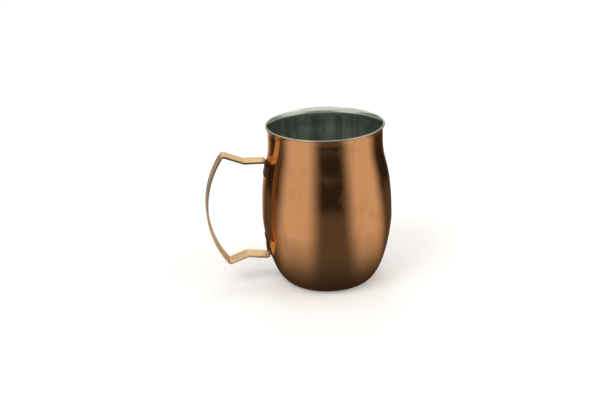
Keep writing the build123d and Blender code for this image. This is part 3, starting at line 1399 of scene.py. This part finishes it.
@dataclass
class Studio:
    """Plain pale floor, soft lamps, and a table-and-wall surround that only the metal mirrors."""

    floor_radius: float = 4200.0
    floor_rings: tuple[float, ...] = (60, 200, 700, 2000)
    floor_drop: float = 0.02
    floor_colour: str = "#F3F2F0"
    grain_colour: str = "#F2F1EE"
    floor_steps: int = 96
    floor_lift: float = 0.18
    table_radius: float = 400.0
    hole_radius: float = 20.0  # open middle of the table, under the mug
    fine_reach: float = -300.0  # distance up to which the table's rings lie a fine step apart
    fine_step: float = 4.0
    coarse_step: float = 6.0
    azimuth_step: float = 0.75
    wall_height: float = 330.0
    table_lift: float = 0.3
    roof_height: float = 520.0
    roof_radius: float = 330.0
    roof_steps: int = 64
    roof_colour: str = "#606060"
    wall_colour: str = "#303030"
    lamp_tint: tuple[float, float, float] = (1.0, 0.985, 0.96)
    sky_strength: float = 0.72
    backdrop_strength: float = 1.0

    def build_floor(self) -> Piece:
        """Builds the floor: a disc of concentric rings, with a faint paper grain.

        Returns:
            The floor.
        """
        ring = np.array([*self.floor_rings, self.floor_radius])[:, None]
        angle = once_round(self.floor_steps)
        lowest = CAD_BOX[0].z / MM - self.floor_drop
        x, y = ring * np.cos(angle), ring * np.sin(angle)
        points = np.stack([x, y, np.full_like(x, lowest)], -1).reshape(-1, 3)
        points = np.concatenate([points, [[0, 0, lowest]]])
        quads = grid_faces(len(ring), self.floor_steps, False, True)
        middle = fan_faces(np.arange(self.floor_steps), len(points) - 1, False)
        floor = make_piece("floor", points, quads, middle, is_solid=False)
        material, tree, surface = new_material("floor_paper")
        place = add_node(tree, "TexCoord").outputs["Object"]
        grain = ramp(tree, stretched_noise(tree, place, (0.02, 0.02, 0.02), 3.0), 0.3, 0.7)
        colour = blended(tree, grain, linear(self.floor_colour), linear(self.grain_colour))
        values = {"Base Color": colour, "Roughness": 0.9, "Specular IOR Level": 0.1}
        shader = add_node(tree, "BsdfPrincipled", None, values)
        lift = ramp(tree, seen_rays(tree), 0.0, 1.0, 0.0, self.floor_lift)
        glow = add_node(tree, "Emission", None, {"Color": linear("#FFFFFF"), "Strength": lift})
        both = add_node(tree, "AddShader", None, {0: shader.outputs["BSDF"], 1: glow.outputs["Emission"]})
        tree.links.new(both.outputs["Shader"], surface)
        floor.data.materials.append(material)
        return floor

    def mirror_only(self, stage_object: Piece) -> None:
        """Leaves an object visible in reflections only, and out of the lighting and the shadows."""
        for kind in ("camera", "diffuse", "transmission", "volume_scatter", "shadow"):
            setattr(stage_object, f"visible_{kind}", False)

    def glowing(self, name: str, source: Optional[str], colour: str = "#FFFFFF") -> Material:
        """Plain emission of an attribute's colour, or of one colour.

        Args:
            name: name of the material.
            source: name of the colour attribute, or nothing.
            colour: colour where there is no attribute.

        Returns:
            The material.
        """
        material, tree, surface = new_material(name)
        light = add_node(tree, "Emission", None, {"Color": linear(colour), "Strength": 1.0})
        if source:
            tone = add_node(tree, "Attribute", {"attribute_name": source})
            tree.links.new(tone.outputs["Color"], light.inputs["Color"])
        tree.links.new(light.outputs["Emission"], surface)
        material.cycles.emission_sampling = "NONE"
        return material

    def build_surround(self) -> Piece:
        """Builds the table and the round wall that the metal mirrors, with the cards painted on.

        Formula: each ring of the grid has one distance, negative across the table and positive up
        the wall. Cards are laid over a grey ground in turn, each blended in by its share.

        Returns:
            The surround.
        """
        distance = np.concatenate(
            [
                np.arange(self.hole_radius - self.table_radius, self.fine_reach, self.fine_step),
                np.arange(self.fine_reach, 0, self.coarse_step),
                np.arange(0, self.wall_height + 1, self.coarse_step),
            ]
        )
        azimuth = np.arange(-180, 180, self.azimuth_step)
        radius = self.table_radius + np.minimum(distance, 0)
        height = np.maximum(distance, 0) + self.table_lift
        angle = np.radians(azimuth)
        x = radius[:, None] * np.sin(angle)
        y = -radius[:, None] * np.cos(angle)
        z = np.broadcast_to(height[:, None], x.shape)
        points = np.stack([x, y, z], -1).reshape(-1, 3)
        quads = grid_faces(len(distance), len(azimuth), False, True)
        surround = make_piece("surround", points, quads, is_solid=False)
        colour = np.empty((*x.shape, 4))
        colour[:] = linear(self.wall_colour)
        for card in CARDS:
            share = card.share(azimuth[None, :], distance[:, None])[..., None]
            colour = colour * (1 - share) + np.array(linear(card.tone)) * share
        tone = surround.data.color_attributes.new("tone", "FLOAT_COLOR", "POINT")
        tone.data.foreach_set("color", colour.astype(np.float32).reshape(-1))
        surround.data.materials.append(self.glowing("surround_light", "tone"))
        self.mirror_only(surround)
        return surround

    def build_roof(self) -> Piece:
        """Builds the grey roof card that the inside of the mug mirrors.

        Returns:
            The roof card.
        """
        angle = once_round(self.roof_steps)
        x, y = self.roof_radius * np.cos(angle), self.roof_radius * np.sin(angle)
        rim = np.stack([x, y, np.full_like(x, self.roof_height)], -1)
        points = np.concatenate([rim, [[0, 0, self.roof_height]]])
        faces = fan_faces(np.arange(self.roof_steps), self.roof_steps, True)
        roof = make_piece("roof_card", points, np.zeros((0, 4), int), faces, is_solid=False)
        roof.data.materials.append(self.glowing("roof_light", None, self.roof_colour))
        self.mirror_only(roof)
        return roof

    def build_lamps(self) -> None:
        """Adds three large soft lamps: a key from the left, a fill from the right, one behind."""
        lamps = (
            ("key_lamp", (-900, -700, 1500), 900, 9.0),
            ("fill_lamp", (1300, -500, 1100), 1100, 5.0),
            ("back_lamp", (200, 1500, 1500), 1000, 5.0),
        )
        for name, place, size, power in lamps:
            light = bpy.data.lights.new(name, "AREA")
            light.shape = "DISK"
            light.size = size * MM
            light.energy = power
            light.color = self.lamp_tint
            lamp = bpy.data.objects.new(name, light)
            spot = Vector(place) * MM
            lamp.location = spot
            lamp.rotation_mode = "QUATERNION"
            lamp.rotation_quaternion = (-spot).to_track_quat("-Z", "Y")
            lamp.visible_camera = False
            bpy.context.scene.collection.objects.link(lamp)

    def build_world(self) -> None:
        """White world: full strength to the camera and in reflections, softer as a light."""
        world = bpy.data.worlds.new("white_studio")
        bpy.context.scene.world = world
        world.use_nodes = True
        tree = world.node_tree
        tree.nodes.clear()
        strength = ramp(tree, seen_rays(tree), 0.0, 1.0, self.sky_strength, self.backdrop_strength)
        light = add_node(tree, "Background", None, {"Color": linear("#FFFFFF"), "Strength": strength})
        output = add_node(tree, "OutputWorld")
        tree.links.new(light.outputs["Background"], output.inputs["Surface"])

    def build(self) -> list[Piece]:
        """Builds the whole studio.

        Returns:
            Its objects.
        """
        self.build_world()
        self.build_lamps()
        view = bpy.context.scene.view_settings
        view.view_transform = "Standard"
        return [self.build_floor(), self.build_surround(), self.build_roof()]


@dataclass
class ViewCamera:
    """Camera in front of the mug, above it and a little towards its handle.

    Distance and rise are in millimetres from the middle of the foot, and all turns in radians.
    """

    distance: float = 653.9
    rise: float = 310.5
    swing: float = 0.1578
    pitch: float = 0.3685
    yaw: float = -0.0289
    roll: float = -0.0342
    lens: float = 59.2
    sensor: float = 36.0

    def build(self) -> Piece:
        """Builds the camera and makes it the scene's.

        Its view line is turned by yaw and pitch, its frame by roll, and all of it by the swing
        round the mug's axis.

        Returns:
            The camera.
        """
        forward = Vector(
            (
                math.sin(self.yaw) * math.cos(self.pitch),
                math.cos(self.yaw) * math.cos(self.pitch),
                -math.sin(self.pitch),
            )
        )
        right = Vector((math.cos(self.yaw), -math.sin(self.yaw), 0.0))
        up = right.cross(forward)
        rolled_right = right * math.cos(self.roll) + up * math.sin(self.roll)
        rolled_up = up * math.cos(self.roll) - right * math.sin(self.roll)
        swing = Matrix.Rotation(-self.swing, 3, "Z")
        place = swing @ Vector((0.0, -self.distance, self.rise)) * MM
        axes = [swing @ rolled_right, swing @ rolled_up, swing @ -forward]
        data = bpy.data.cameras.new("view_camera")
        data.lens = self.lens
        data.sensor_width = self.sensor
        data.clip_start = 0.01
        data.clip_end = 20.0
        data.dof.use_dof = False
        camera = bpy.data.objects.new("view_camera", data)
        camera.matrix_world = Matrix.Translation(place) @ Matrix(axes).transposed().to_4x4()
        bpy.context.scene.collection.objects.link(camera)
        bpy.context.scene.camera = camera
        return camera


# ---------------------------------------------------------------------------
# Main
# ---------------------------------------------------------------------------


def report(piece: Piece) -> None:
    """Logs a piece's name, faces and box in millimetres."""
    corners = np.array([v[:] for v in piece.bound_box]) / MM
    low, high = corners.min(0).round(2), corners.max(0).round(2)
    log.info("%s: %d faces, %s to %s", piece.name, len(piece.data.polygons), low, high)


def main() -> None:
    """Builds the mug, then the studio round it."""
    logging.basicConfig(level=logging.INFO, format="%(message)s")
    ViewCamera().build()
    wall = WallLine()
    underside = Underside(wall)
    pieces = [
        Barrel(wall).build(),
        Liner(wall).build(),
        underside.build_disc(),
        underside.build_seam(),
        *Handle(wall).build(),
    ]
    for piece in pieces:
        report(piece)
    for stage_object in Studio().build():
        report(stage_object)


if __name__ == "__main__":
    main()
